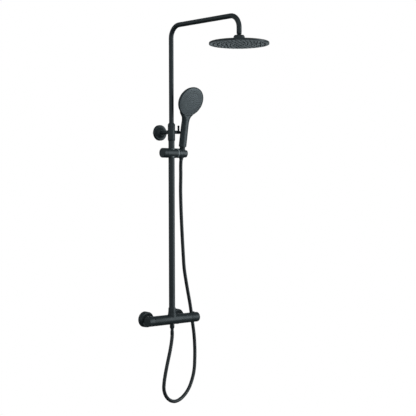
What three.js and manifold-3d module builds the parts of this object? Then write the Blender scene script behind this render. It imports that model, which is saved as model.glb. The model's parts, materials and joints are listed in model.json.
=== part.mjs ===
// A rainfall shower column: a thermostatic bar valve on two wall inlets, a telescopic riser with an overhead
// arm, a rain head on a ball joint, and a hand shower in a sliding holder with its hose.
import * as THREE from 'three';
import { mergeVertices, toCreasedNormals } from 'three/addons/utils/BufferGeometryUtils.js';
import Module from 'manifold-3d';

// Millimetres and degrees. The wall is the plane y = 0, the room is on its -y side, z is up, and the origin
// lies midway between the two inlets.
const GAP = 0.3; // left between pieces that touch
const INLETS = [-75, 75]; // 150 mm apart, as standard supplies are
const STANDOFF = 75; // from the wall to the axis of the valve and of the riser
const BAR = { radius: 18.8, left: -93.5, right: 88, leftHandle: 27.2, rightHandle: 40 };
const CARTRIDGE = { radius: 12.6, stem: 4, bore: 13, depth: 34 };
const BUTTON = { radius: 3.9, proud: 3 }; // the stop button, halfway along each handle
const GRUB = { radius: 1.7, fromEnd: 8 }; // the screw under each handle
const INLET_FLANGE = { radius: 30, depth: 22, hole: 13.4 };
const LOWER_TUBE = { outer: 11.8, inner: 10, bottom: 35.6, top: 703.7 };
const UPPER_TUBE = { outer: 9.1, inner: 7.6, bottom: 562 };
const ARM = { height: 1115, reach: 376, bend: 46, droop: 1, end: 1050.3 };
const BRACKET = { height: 714, flange: 30, stub: 7.8, sleeve: 14, sleeveUp: 34, sleeveDown: 34 };
const SLIDER = { height: 634, radius: 18.5, left: -30.7, right: 21.5, knob: 15, ring: 6.3, end: 70 };
const HAND = { x: 46.7, y: -80, lean: 10, head: 57, faceTilt: 14, faceY: -24, faceZ: 200 };
const GRIP = { halfWidth: 16.6, halfDepth: 11.6 }; // the handle is oval, broad to the front
const HEAD = { radius: 106.5, top: 1014.5, bottom: 1003.8, ball: 10.2, ballHeight: 1021 };
const HOSE = { radius: 6.8, sides: 8 };

// The hose's centreline below the hand shower, and the two places where one stretch of it ends.
const HOSE_ROUTE = [
  [46.7, -74.7, 604], [48.1, -71.7, 584], [49.6, -70.2, 560], [50.9, -68.2, 530], [52, -66, 495],
  [55.3, -63.6, 432], [60.2, -61.2, 370], [66, -58.7, 308], [72.1, -56.4, 246], [78.7, -54, 191],
  [89, -52, 143.5], [101.2, -49.6, 96], [113, -47.3, 52], [121.8, -45.6, 12], [128.6, -45.2, -28],
  [135.2, -45.6, -72], [138.2, -46.4, -119], [137.3, -47.5, -166], [131.7, -49.5, -212.5],
  [118.6, -52, -248.5], [100.2, -55, -278], [77.2, -58.5, -299], [49.5, -62.5, -313.4],
  [21, -66.5, -317.8], [-5.7, -70, -310.4], [-28.2, -73, -292], [-41, -75, -265], [-41.4, -76.4, -238],
  [-34.4, -77, -200.5], [-24.2, -77, -161.7], [-13.2, -76.3, -125], [-5.4, -75.5, -95],
  [-1.4, -75.1, -74], [0, -75, -62], [0, -75, -55.2],
];
const LIFT_ENDS = 548; // above this height the hose follows the hand shower out of its holder
const TILT_ENDS = 488; // and above this one it follows the holder's tilt

const WELD = 1e-4;
// The number of sides of round pieces, from the widest discs to the smallest screws.
const WIDEST = 36;
const BROAD = 26;
const ROUND = 20;
const MEDIUM = 14;
const SMALL = 10;
const TINY = 6;
const X = new THREE.Vector3(1, 0, 0);
const Y = new THREE.Vector3(0, 1, 0);
const Z = new THREE.Vector3(0, 0, 1);
const rad = THREE.MathUtils.degToRad;

const finish = (color, roughness, metalness) => ({ color, roughness, metalness });
const BLACK = finish(0x2c2f31, 0.5, 0.55);
const BLACK_PLASTIC = finish(0x303335, 0.5, 0);
const FACE_GREY = finish(0x75797b, 0.55, 0);
const PALE_PLASTIC = finish(0xc4c8c9, 0.45, 0);
const HOSE_BLACK = finish(0x36393b, 0.45, 0.3);
const RUBBER = finish(0x161616, 0.85, 0);
const BRASS = finish(0xb08d4f, 0.4, 1);
const STEEL = finish(0xa9acae, 0.35, 1);

const wasm = await Module();
wasm.setup();

/** Six times the volume inside a list of triangles, negative when they face inwards. */
function signedVolume(points, corners) {
  const at = (i) => new THREE.Vector3().fromArray(points, i * 3);
  let total = 0;
  for (let i = 0; i < corners.length; i += 3) {
    total += at(corners[i]).dot(at(corners[i + 1]).cross(at(corners[i + 2])));
  }
  return total;
}

/** A closed solid from a surface made of triangles. */
function solidOf(geometry) {
  const plain = geometry.clone();
  plain.deleteAttribute('normal');
  plain.deleteAttribute('uv');
  const merged = mergeVertices(plain, WELD);
  const points = merged.getAttribute('position').array;
  const index = merged.index.array;
  const corners = [];
  for (let i = 0; i < index.length; i += 3) {
    const [a, b, c] = [index[i], index[i + 1], index[i + 2]];
    if (a !== b && b !== c && c !== a) corners.push(a, b, c);
  }
  if (signedVolume(points, corners) < 0) corners.reverse();
  const vertProperties = new Float32Array(points);
  const triVerts = new Uint32Array(corners);
  return new wasm.Manifold(new wasm.Mesh({ numProp: 3, vertProperties, triVerts }));
}

/** A profile of [radius, height] pairs turned about a line through at, with heights measured along axis. */
function turned(profile, sides = ROUND, axis = Z, at = [0, 0, 0]) {
  const points = profile.map(([r, h]) => new THREE.Vector2(r, h));
  const geometry = new THREE.LatheGeometry(points, sides);
  geometry.applyQuaternion(new THREE.Quaternion().setFromUnitVectors(Y, axis));
  geometry.translate(...at);
  return solidOf(geometry);
}

/** A ring: a tube wall between two radii, from low to high along axis. */
function ring(inner, outer, low, high, sides, axis, at) {
  const profile = [[inner, low], [outer, low], [outer, high], [inner, high], [inner, low]];
  return turned(profile, sides, axis, at);
}

/** A round bar from low to high along axis. */
function rod(radius, low, high, sides, axis, at) {
  return turned([[0, low], [radius, low], [radius, high], [0, high]], sides, axis, at);
}

/** Points [radius, height] of an arc about a centre, from one angle to another, with 0 degrees outwards. */
function arc(r, h, radius, from, to, steps = 5) {
  const points = [];
  for (let i = 0; i <= steps; i += 1) {
    const angle = rad(from + ((to - from) * i) / steps);
    points.push([r + radius * Math.cos(angle), h + radius * Math.sin(angle)]);
  }
  return points;
}

function block(low, high) {
  const [a, b] = [new THREE.Vector3(...low), new THREE.Vector3(...high)];
  const size = b.clone().sub(a);
  const middle = a.add(b).multiplyScalar(0.5);
  return solidOf(new THREE.BoxGeometry(size.x, size.y, size.z).translate(...middle.toArray()));
}

/** A path that gives a sweep one ring of points at each station, square to its heading. */
class StationPath extends THREE.Curve {
  constructor(stations, headings) {
    super();
    this.stations = stations;
    this.headings = headings;
  }

  getPoint(t) {
    const last = this.stations.length - 1;
    const i = Math.min(Math.floor(t * last + 1e-6), last - 1);
    return this.stations[i].clone().lerp(this.stations[i + 1], t * last - i);
  }

  getPointAt(u) {
    return this.getPoint(u);
  }

  getTangentAt(u) {
    const s = this.stations;
    const i = Math.round(u * (s.length - 1));
    if (this.headings) return this.headings[i].clone();
    const before = s[i].clone().sub(s[Math.max(i - 1, 0)]).normalize();
    const after = s[Math.min(i + 1, s.length - 1)].clone().sub(s[i]).normalize();
    return before.add(after).normalize();
  }
}

/** A round section swept along stations, hollow where inner isn't 0. */
function swept(stations, outer, inner, sides, headings) {
  const shape = new THREE.Shape().absarc(0, 0, outer, 0, Math.PI * 2, false);
  if (inner) shape.holes.push(new THREE.Path().absarc(0, 0, inner, 0, Math.PI * 2, true));
  const extrudePath = new StationPath(stations, headings);
  const options = { steps: stations.length - 1, curveSegments: sides / 2, extrudePath };
  return solidOf(new THREE.ExtrudeGeometry(shape, options));
}

/** A named piece from a solid, with its own material. */
function piece(name, solid, { color, roughness, metalness }) {
  const { vertProperties, triVerts } = solid.getMesh();
  const geometry = new THREE.BufferGeometry();
  geometry.setAttribute('position', new THREE.BufferAttribute(new Float32Array(vertProperties), 3));
  geometry.setIndex(Array.from(triVerts));
  const material = new THREE.MeshStandardMaterial({ color, roughness, metalness });
  const mesh = new THREE.Mesh(toCreasedNormals(geometry, rad(35)), material);
  mesh.name = name;
  return mesh;
}

function group(position, ...children) {
  const made = new THREE.Group();
  made.position.set(...position);
  made.add(...children);
  return made;
}

// ---- Valve, in a frame on the bar's axis ----

function valveBody() {
  const { radius: r, left, right } = BAR;
  const { bore, depth } = CARTRIDGE;
  const bar = [[0, left], [r - 1, left], [r, left + 1], [r, right - 1], [r - 1, right], [0, right]];
  const boss = [[0, 0], [17.6, 0], [17.4, 14], [15, 26], [10, 26], [10, 34], [0, 34]];
  let body = turned(bar, ROUND, X).add(turned(boss)).add(rod(6.2, -27, 0, MEDIUM));
  for (const x of INLETS) body = body.add(rod(11, 0, 25, MEDIUM, Y, [x, 0, 0]));
  body = body.subtract(rod(bore, left - 1, left + depth, ROUND, X));
  body = body.subtract(rod(bore, right - depth, right + 1, ROUND, X));
  body = body.subtract(rod(6, left + depth - 1, right - depth + 1, SMALL, X));
  body = body.subtract(rod(8, 0, 35, MEDIUM)).subtract(rod(4.6, -28, 0, SMALL));
  for (const x of INLETS) body = body.subtract(rod(7, 4, 26, SMALL, Y, [x, 0, 0]));
  return body;
}

/** A cartridge in the body's end, with its stem outwards. Heights run outwards from that end. */
function cartridge(outwards, end) {
  const inner = -(CARTRIDGE.depth - 1);
  const profile = [
    [0, inner], [10.5, inner], [10.5, -24], [CARTRIDGE.radius, -24], [CARTRIDGE.radius, -18], [11, -18],
    [11, -12], [CARTRIDGE.radius, -12], [CARTRIDGE.radius, -2], [7, -2], [7, 2.5], [CARTRIDGE.stem, 2.5],
    [CARTRIDGE.stem, 19], [0, 19],
  ];
  return turned(profile, MEDIUM, outwards, [end, 0, 0]);
}

/** A handle: a cap with a hub for the stem. Heights run from the body's end outwards. */
function handle(outwards, end, length, roundness) {
  const r = BAR.radius;
  const inner = r - 3;
  const cap = turned([
    [0, 20], [4.3, 20], [4.3, 3.3], [7, 3.3], [7, length - 4], [inner, length - 4], [inner, GAP], [r, GAP],
    ...arc(r - roundness, length - roundness, roundness, 0, 90, 3), [0, length],
  ], ROUND, outwards, [end, 0, 0]);
  const buttonX = end + (outwards.x * length) / 2;
  const screwX = end + outwards.x * GRUB.fromEnd;
  return cap.subtract(rod(BUTTON.radius + GAP, 12, 25, SMALL, Z, [buttonX, 0, 0]))
    .subtract(rod(GRUB.radius + GAP, -25, -3, TINY, Z, [screwX, 0, 0]));
}

/** A stop button: a stem in the handle's wall with a collar that keeps it in. */
function stopButton() {
  const top = BAR.radius + BUTTON.proud;
  const r = BUTTON.radius;
  const profile = [[0, 12.4], [5.2, 12.4], [5.2, 14.2], [r, 14.2], [r, top - 1], [r - 1, top], [0, top]];
  return turned(profile, SMALL);
}

/** A coil spring between two heights. */
function coilSpring(radius, wire, low, high, turns) {
  const stations = [];
  const perTurn = 9;
  for (let i = 0; i <= turns * perTurn; i += 1) {
    const angle = (i / perTurn) * Math.PI * 2;
    const height = low + wire + ((high - low - 2 * wire) * i) / (turns * perTurn);
    stations.push(new THREE.Vector3(radius * Math.cos(angle), radius * Math.sin(angle), height));
  }
  return swept(stations, wire, 0, 4);
}

/** A handle with its stop button and spring, and the grub screw that holds its hub to the stem. */
function handleSet(name, outwards, end, length, roundness) {
  const buttonX = end + (outwards.x * length) / 2;
  const screwX = end + outwards.x * GRUB.fromEnd;
  return [
    piece(`${name}_handle`, handle(outwards, end, length, roundness), BLACK),
    piece(`${name}_grub_screw`, rod(GRUB.radius, -7.4, -4.4, TINY, Z, [screwX, 0, 0]), STEEL),
    group([buttonX, 0, 0],
      piece(`${name}_stop_button`, stopButton(), BLACK_PLASTIC),
      piece(`${name}_button_spring`, coilSpring(2.6, 0.35, 7.4, 12, 3), STEEL)),
  ];
}

function valve() {
  const [left, right] = [BAR.left, BAR.right];
  const negativeX = X.clone().negate();
  return group([0, -STANDOFF, 0],
    piece('valve_body', valveBody(), BLACK),
    piece('thermostatic_cartridge', cartridge(negativeX, left), BRASS),
    piece('diverter_cartridge', cartridge(X, right), BRASS),
    ...handleSet('temperature', negativeX, left, BAR.leftHandle, 1.6),
    ...handleSet('flow', X, right, BAR.rightHandle, 4.5));
}

// ---- Inlets, in a frame on the wall at each inlet's axis ----

/** The pieces between the wall and the body on one side. Heights run along y, negative into the room. */
function inlet(side, x) {
  const { radius: r, depth, hole } = INLET_FLANGE;
  const hex = solidOf(new THREE.CylinderGeometry(16.2, 16.2, 16, 6).translate(0, -47.6, 0));
  const chamfer = [[0, -55.6], [14.2, -55.6], [16.4, -54.2], [16.4, -41], [14.2, -39.6], [0, -39.6]];
  const nut = hex.intersect(turned(chamfer, MEDIUM, Y))
    .subtract(rod(11.3, -57, -44.1, MEDIUM, Y))
    .subtract(rod(8.4, -45, -38, MEDIUM, Y));
  const union = [
    [6.5, -47.3], [10.8, -47.3], [10.8, -44.6], [8, -44.6], [8, -36], [13, -34], [13, -1.2], [10.3, -1.2],
    [10.3, 11], [9.3, 12], [6.5, 12], [6.5, -47.3],
  ];
  const shell = [
    [hole, 1.6 - depth], [19, 1.6 - depth], [21.5, -depth], ...arc(r - 3.6, 3 - depth, 3, -90, 0, 2),
    [r, -2], [r, 0], [r - 3, 0], [r - 3.6, 4.4 - depth], [hole, 4.4 - depth], [hole, 1.6 - depth],
  ];
  return group([x, 0, 0],
    piece(`${side}_union_nut`, nut, BLACK),
    piece(`${side}_union_washer`, ring(7, 10.6, -49.7, -47.6, MEDIUM, Y), RUBBER),
    piece(`${side}_wall_union`, turned(union, MEDIUM, Y), BLACK),
    piece(`${side}_wall_flange`, turned(shell, BROAD, Y), BLACK));
}

// ---- Riser, in a frame on its own axis at the valve's height ----

function riserFoot() {
  const tube = LOWER_TUBE;
  const outer = [
    [10.4, 26.3], [14.8, 26.3], [14.5, 32], [13.9, 42.5], [13.1, 45.5], [12.2, 45.5], [12.2, 34.9],
    [10.4, 34.9], [10.4, 26.3],
  ];
  return [
    piece('riser_foot_nut', turned(outer), BLACK),
    piece('riser_foot_washer', ring(8.1, 9.9, 34.3, 35.3, MEDIUM), RUBBER),
    piece('riser_lower_tube', ring(tube.inner, tube.outer, tube.bottom, tube.top), BLACK),
  ];
}

/** The plug in the upper tube's foot, which guides it inside the lower tube and carries the seal. */
function tubeGuide() {
  const foot = UPPER_TUBE.bottom;
  const plug = [
    [5.5, foot - 12], [9.6, foot - 12], [9.6, foot - 8], [7.9, foot - 8], [7.9, foot - 5], [9.6, foot - 5],
    [9.6, foot - GAP], [7.2, foot - GAP], [7.2, foot + 10], [5.5, foot + 10], [5.5, foot - 12],
  ];
  return [
    piece('upper_tube_guide', turned(plug), BLACK_PLASTIC),
    piece('upper_tube_seal', ring(8.2, 9.7, foot - 7.7, foot - 5.3), RUBBER),
  ];
}

/** Stations of an arc in the plane x = 0 that turns from one heading to another, in degrees above -y. */
function bendStations(start, from, to, radius, steps) {
  const side = Math.sign(to - from);
  const heading = (degrees) => new THREE.Vector3(0, -Math.cos(rad(degrees)), Math.sin(rad(degrees)));
  const normal = (degrees) => heading(degrees + 90).multiplyScalar(side * radius);
  const centre = start.clone().add(normal(from));
  const stations = [];
  for (let i = 1; i <= steps; i += 1) {
    stations.push(centre.clone().sub(normal(from + ((to - from) * i) / steps)));
  }
  return stations;
}

function armStations() {
  const { height, reach, bend, droop, end } = ARM;
  const steps = 6;
  const bottom = new THREE.Vector3(0, 0, UPPER_TUBE.bottom);
  const firstStart = new THREE.Vector3(0, 0, height - bend);
  const first = bendStations(firstStart, 90, -droop, bend, steps);
  const leave = first[first.length - 1];
  // The second bend turns from the arm's droop to straight down, and ends above the head.
  const turn = bendStations(new THREE.Vector3(), -droop, -90, bend, steps);
  const run = -reach - leave.y - turn[turn.length - 1].y;
  const arrive = leave.clone().add(new THREE.Vector3(0, run, run * Math.tan(rad(droop))));
  const second = bendStations(arrive, -droop, -90, bend, steps);
  return [bottom, firstStart, ...first, arrive, ...second, new THREE.Vector3(0, -reach, end)];
}

function riser() {
  const arm = swept(armStations(), UPPER_TUBE.outer, UPPER_TUBE.inner, 16);
  return group([0, -STANDOFF, 0], ...riserFoot(), ...tubeGuide(), piece('riser_upper_tube', arm, BLACK));
}

// ---- Wall bracket, in a frame on the riser's axis at the bracket's height ----

function sleeve() {
  const [r, up, down] = [BRACKET.sleeve, BRACKET.sleeveUp, -BRACKET.sleeveDown];
  const lower = LOWER_TUBE.top - BRACKET.height + GAP;
  const outer = [
    [LOWER_TUBE.outer + GAP, down], [12.8, down], [r, down + 5], [r, up - 6], [10.4, up], [9.5, up],
    [9.5, lower], [LOWER_TUBE.outer + GAP, lower], [LOWER_TUBE.outer + GAP, down],
  ];
  return turned(outer)
    .add(rod(6.4, 12, 21, MEDIUM, X))
    .subtract(rod(2.9, 5, 22, MEDIUM, X))
    .subtract(ring(9, 10.9, 20, 22.4));
}

/** The lock screw: a grip with a tommy pin, a plain end, and a thread into the sleeve. */
function lockScrew() {
  const shaft = [
    [0, 9.8], [2.6, 9.8], [2.6, 21.3], [6.5, 21.3], [6.5, 38.4], [6, 39], [4, 39], [4, 42], [3.2, 43],
    [0, 43],
  ];
  const pin = rod(3.8, 3, 22, SMALL, Z, [34.9, 0, 0]);
  const tip = solidOf(new THREE.SphereGeometry(4.4, 10, 8).translate(34.9, 0, 22));
  return turned(shaft, MEDIUM, X).add(pin).add(tip);
}

function bracket() {
  const wall = STANDOFF;
  const r = BRACKET.flange;
  const flange = [
    [8.1, wall - 18], [11, wall - 18], [19, wall - 11.5], [23, wall - 10.6],
    ...arc(r - 2, wall - 8.6, 2, -90, 0, 2), [r, wall], [r - 3, wall], [r - 4, wall - 7],
    [20, wall - 8.5], [12, wall - 14], [8.1, wall - 16], [8.1, wall - 18],
  ];
  const plate = [[0, wall - 24], [5, wall - 24], [5, wall - 4], [18, wall - 4], [18, wall], [0, wall]];
  const stub = rod(BRACKET.stub, 9, wall - 4.5, MEDIUM, Y)
    .subtract(rod(5.3, wall - 24.4, wall, MEDIUM, Y))
    .subtract(rod(BRACKET.sleeve + GAP, -20, 20))
    .subtract(rod(2.3, -9, -4, TINY, Z, [0, wall - 20, 0]));
  const screw = [
    [0, wall - 6], [3.6, wall - 6], [3.6, wall - 4.4], [2, wall - 4.4], [2, wall + 22], [0, wall + 26],
  ];
  const [leftHole, rightHole] = [-12, 12].map((x) => rod(2.4, wall - 5, wall + 1, TINY, Y, [x, 0, 0]));
  return group([0, -STANDOFF, BRACKET.height],
    piece('bracket_flange', turned(flange, BROAD, Y), BLACK),
    piece('bracket_wall_plate', turned(plate, MEDIUM, Y).subtract(leftHole).subtract(rightHole), STEEL),
    piece('bracket_screw_left', turned(screw, TINY, Y, [-12, 0, 0]), STEEL),
    piece('bracket_screw_right', turned(screw, TINY, Y, [12, 0, 0]), STEEL),
    piece('bracket_stub', stub, BLACK),
    piece('bracket_grub_screw', rod(2, -7.6, -5.3, TINY, Z, [0, wall - 20, 0]), STEEL),
    piece('riser_sleeve', sleeve(), BLACK),
    piece('sleeve_seal', ring(9.5, 10.6, 20.3, 22.1), RUBBER),
    piece('lock_screw', lockScrew(), BLACK));
}

// ---- Slider, in a frame on the riser's axis at the slider's height ----

function sliderBody() {
  const { radius: r, left, right } = SLIDER;
  const scallop = 17;
  const inner = r - 0.6;
  const bar = [[0, left], [inner, left], [r, left + 0.6], [r, right - 0.6], [inner, right], [0, right]];
  let body = turned(bar, ROUND, X);
  for (const height of [-1, 1].map((side) => side * (r - 4.2 + scallop))) {
    body = body.subtract(rod(scallop, -25, 25, ROUND, Y, [0, 0, height]));
  }
  return body.subtract(rod(13.6, -25, 25))
    .subtract(rod(4.4, left - 1, -10, SMALL, X))
    .subtract(rod(4.3, 10, right + 1, SMALL, X));
}

function clampKnob() {
  const { radius: r, left, knob } = SLIDER;
  const near = left - GAP;
  const far = near - knob;
  return turned([
    [0, far], ...arc(r - 1.4, far + 1.4, 1.4, -90, 0, 2), [r, near - 1], [r - 1, near], [3.9, near],
    [3.9, -17.5], [0, -17.5],
  ], ROUND, X);
}

function slider() {
  const { right, ring: width } = SLIDER;
  const far = right + GAP + width;
  return group([0, -STANDOFF, SLIDER.height],
    piece('slider_body', sliderBody(), BLACK),
    piece('slider_bush', ring(LOWER_TUBE.outer + GAP, 13.3, -16, 16), PALE_PLASTIC),
    piece('clamp_knob', clampKnob(), BLACK),
    piece('brake_pad', rod(3.9, -17.2, -13.7, SMALL, X), RUBBER),
    piece('holder_friction_ring', ring(4.4, 17.6, right + GAP, far, ROUND, X), PALE_PLASTIC),
    piece('holder_axle', rod(4, 13.9, 34, SMALL, X), STEEL));
}

// ---- Hand shower and its holder, in a frame on the cone seat's own leaning axis ----

const coneRadius = (s) => 9.3 + 0.0687 * s; // the hose nut's outside, and the holder's seat around it

/** The holder, a barrel across the slider's axis with a cone seat, slotted through its far end. */
function holder() {
  const near = SLIDER.right + 2 * GAP + SLIDER.ring - HAND.x;
  const far = SLIDER.end - HAND.x;
  const r = 18.3;
  const onAxis = new THREE.Vector3(0, -STANDOFF - HAND.y, 0).applyAxisAngle(X, -rad(HAND.lean));
  const outer = [[0, near], [r, near], ...arc(r - 7, far - 7, 7, 0, 90, 4), [0, far]];
  const barrel = turned(outer, ROUND, X, onAxis.toArray());
  const clear = 0.4;
  const seat = turned([[0, -25], [coneRadius(-25) + clear, -25], [coneRadius(25) + clear, 25], [0, 25]]);
  return barrel.subtract(seat)
    .subtract(block([0, -6.9, -25], [30, 6.9, 25]))
    .subtract(rod(4.5, near - 1, 34.4 - HAND.x, MEDIUM, X, onAxis.toArray()));
}

/** The face's own frame inside the hand shower's: +y into the head, z up along the face. */
function faceGroup(...children) {
  const made = group([0, HAND.faceY, HAND.faceZ], ...children);
  made.rotation.x = rad(HAND.faceTilt);
  return made;
}

/** The same placing, for a solid that is cut from or joined to the handle. */
function inFace(solid) {
  return solid.rotate([HAND.faceTilt, 0, 0]).translate([0, HAND.faceY, HAND.faceZ]);
}

function handBody() {
  const head = HAND.head;
  const r = GRIP.halfWidth;
  const grip = [
    [0, 25.5], [r - 1.4, 25.5], [r, 27.5], [r, 60], [r - 0.2, 110], [r + 0.8, 126], [r + 3, 138],
    [r + 6, 152], [r + 4, 172], [r - 3, 188], [0, 190],
  ];
  const bowl = [
    [0, 0], [head - 1, 0], [head, 1], [head, 6], ...arc(head - 22, 0, 22.5, 17, 62, 5), [18, 21.4], [0, 22],
  ];
  const cavity = [
    [0, -0.1], [head - 2.6, -0.1], [head - 2.6, 3], [head - 6, 3], [head - 10, 9], [30, 16.5], [12, 18.4],
    [0, 18.8],
  ];
  return turned(grip, MEDIUM)
    .scale([1, GRIP.halfDepth / r, 1])
    .subtract(inFace(rod(head + 1, -30, 0, ROUND, Y)))
    .add(inFace(turned(bowl, BROAD, Y)))
    .subtract(inFace(turned(cavity, BROAD, Y)))
    .subtract(rod(7, 20, 196, MEDIUM));
}

/** Places of jets on rings of equal spacing, with six more on each ring than on the one inside it. */
function jetPlaces(rings, spacing) {
  const places = [];
  for (let i = 1; i <= rings; i += 1) {
    for (let j = 0; j < 6 * i; j += 1) {
      const angle = ((j + 0.5 * (i % 2)) / (6 * i)) * Math.PI * 2;
      places.push([i * spacing * Math.cos(angle), i * spacing * Math.sin(angle)]);
    }
  }
  return places;
}

function handShower() {
  const r = HAND.head - 3;
  let face = turned([[0, 0.2], [r - 1, 0.2], [r, 1], [r, 2.6], [0, 2.6]], BROAD, Y);
  for (const [x, z] of jetPlaces(2, 20)) face = face.add(rod(1.6, -1, 1, 5, Y, [x, 0, z]));
  const inletThread = [[5, 17.8], [9.2, 17.8], [9.2, 25.2], [6.6, 25.2], [6.6, 36], [5, 36], [5, 17.8]];
  const nut = [
    [6.9, -24.5], [coneRadius(-24.5), -24.5], [coneRadius(24.9), 24.9], [9.5, 24.9], [9.5, 12.9],
    [6.9, 12.9], [6.9, -24.5],
  ];
  const tail = [[4, -29.6], [6.4, -29.6], [6.4, 13.2], [9.2, 13.2], [9.2, 15.4], [4, 15.4], [4, -29.6]];
  const made = group([HAND.x, HAND.y, SLIDER.height],
    piece('handset_holder', holder(), BLACK),
    piece('handset_body', handBody(), BLACK),
    faceGroup(piece('handset_face', face, FACE_GREY)),
    piece('handset_inlet', turned(inletThread, MEDIUM), BRASS),
    piece('handset_washer', ring(5, 9.2, 15.7, 17.5, MEDIUM), RUBBER),
    piece('hose_cone_nut', turned(nut), BLACK),
    piece('hose_top_tail', turned(tail, MEDIUM), BLACK));
  made.rotation.x = rad(HAND.lean);
  return made;
}

// ---- Hose, in the column's own frame ----

/** The hose in three stretches that meet face to face. */
function hose() {
  const route = HOSE_ROUTE.map((point) => new THREE.Vector3(...point));
  const curve = new THREE.CatmullRomCurve3(route, false, 'centripetal');
  const steps = 400;
  const points = curve.getSpacedPoints(steps);
  const cut = (height) => points.findIndex((p) => p.z < height);
  const cuts = [0, cut(LIFT_ENDS), cut(TILT_ENDS), steps];
  return ['hose_top', 'hose_bend', 'hose_run'].map((name, i) => {
    const count = Math.ceil((cuts[i + 1] - cuts[i]) / 8);
    const stations = [];
    const headings = [];
    for (let k = 0; k <= count; k += 1) {
      const at = Math.round(THREE.MathUtils.lerp(cuts[i], cuts[i + 1], k / count));
      stations.push(points[at].clone());
      headings.push(points[Math.min(at + 1, steps)].clone().sub(points[Math.max(at - 1, 0)]).normalize());
    }
    if (i > 0) stations[0].addScaledVector(headings[0], GAP);
    return piece(name, swept(stations, HOSE.radius, 0, HOSE.sides, headings), HOSE_BLACK);
  });
}

function hoseFoot() {
  const nut = [
    [6.5, -19.5], [8.9, -19.5], [8.9, -30.5], [7.6, -34.5], [6.6, -34.5], [6.6, -32.6], [8, -31.2], [8, -27],
    [6.5, -27], [6.5, -19.5],
  ];
  const tail = [
    [4, -30.6], [7.6, -30.6], [7.6, -31], [6.2, -32.4], [6.2, -51], [5.6, -54.6], [4, -54.6], [4, -30.6],
  ];
  return group([0, -STANDOFF, 0],
    piece('hose_foot_nut', turned(nut, MEDIUM), BLACK),
    piece('hose_foot_washer', ring(4, 7.5, -30.2, -27.4, MEDIUM), RUBBER),
    piece('hose_foot_tail', turned(tail, MEDIUM), BLACK));
}

// ---- Rain head, in a frame on its own axis at the column's height ----

function ballStud() {
  const { ball, ballHeight: c } = HEAD;
  const end = ARM.end;
  const stud = turned([
    [3, c - 5], [7.5, c - 5], [7.5, c], [5.6, c + 5], [5.6, c + 15.9], [7.7, c + 18.4], [9.1, end - 8],
    [9.1, end - GAP], [7.1, end - GAP], [7.1, end + 10], [3, end + 10], [3, c - 5],
  ], MEDIUM);
  const sphere = solidOf(new THREE.SphereGeometry(ball, 16, 10).rotateX(Math.PI / 2).translate(0, 0, c));
  return sphere.add(stud).subtract(rod(3.2, c - 12, c + 12, SMALL));
}

function headShell() {
  const { radius: r, top, bottom } = HEAD;
  return turned([
    [13.4, top], [17.5, top], [80, top - 1.4], [r - 3, top - 2.9], ...arc(r - 2, top - 4.9, 2, 90, 0, 2),
    [r, bottom], [r - 1.6, bottom], [r - 1.8, top - 4.5], [80, top - 3], [13.4, top - 1.6], [13.4, top],
  ], WIDEST);
}

function headHousing() {
  const { top, ballHeight: c } = HEAD;
  const outer = [
    [13.8, top + GAP], [20, top + GAP], [20, c + 9], [19, c + 11.5], [16.5, c + 15], [10.6, c + 15],
    [9.5, c + 5.4], [13.8, c + 5.4], [13.8, top + GAP],
  ];
  return turned(outer);
}

function rainHead() {
  const { radius: r, top, bottom, ballHeight: c } = HEAD;
  const jet = [[0, bottom - 2.3], [1.2, bottom - 2.3], [2, bottom + 1.6], [0, bottom + 1.6]];
  let plate = rod(r - 2.2, bottom + 0.1, bottom + 1.1, WIDEST);
  let mat = rod(r - 6, bottom + 1.4, bottom + 2.6, BROAD);
  for (const [x, y] of jetPlaces(3, 30)) {
    plate = plate.subtract(rod(2.4, bottom - 1, bottom + 2, 6, Z, [x, y, 0]));
    mat = mat.add(turned(jet, 6, Z, [x, y, 0]));
  }
  return group([0, -STANDOFF - ARM.reach, 0],
    piece('head_ball_stud', ballStud(), BLACK),
    piece('head_swivel_ring', ring(10.7, 12.8, c - 3, c + 2), BLACK_PLASTIC),
    piece('head_ball_housing', headHousing(), BLACK),
    piece('head_shell', headShell(), BLACK),
    piece('head_feed_seal', ring(9, 12.7, top - 1, c - 6.2, MEDIUM), RUBBER),
    piece('head_jet_mat', mat, RUBBER),
    piece('head_spray_plate', plate, FACE_GREY));
}

const column = group([0, 0, 0],
  valve(),
  inlet('left', INLETS[0]),
  inlet('right', INLETS[1]),
  riser(),
  bracket(),
  slider(),
  handShower(),
  ...hose(),
  hoseFoot(),
  rainHead());

export default column;
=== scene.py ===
import json
import math

import bmesh
import bpy
import numpy as np
from mathutils import Matrix, Vector


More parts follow.
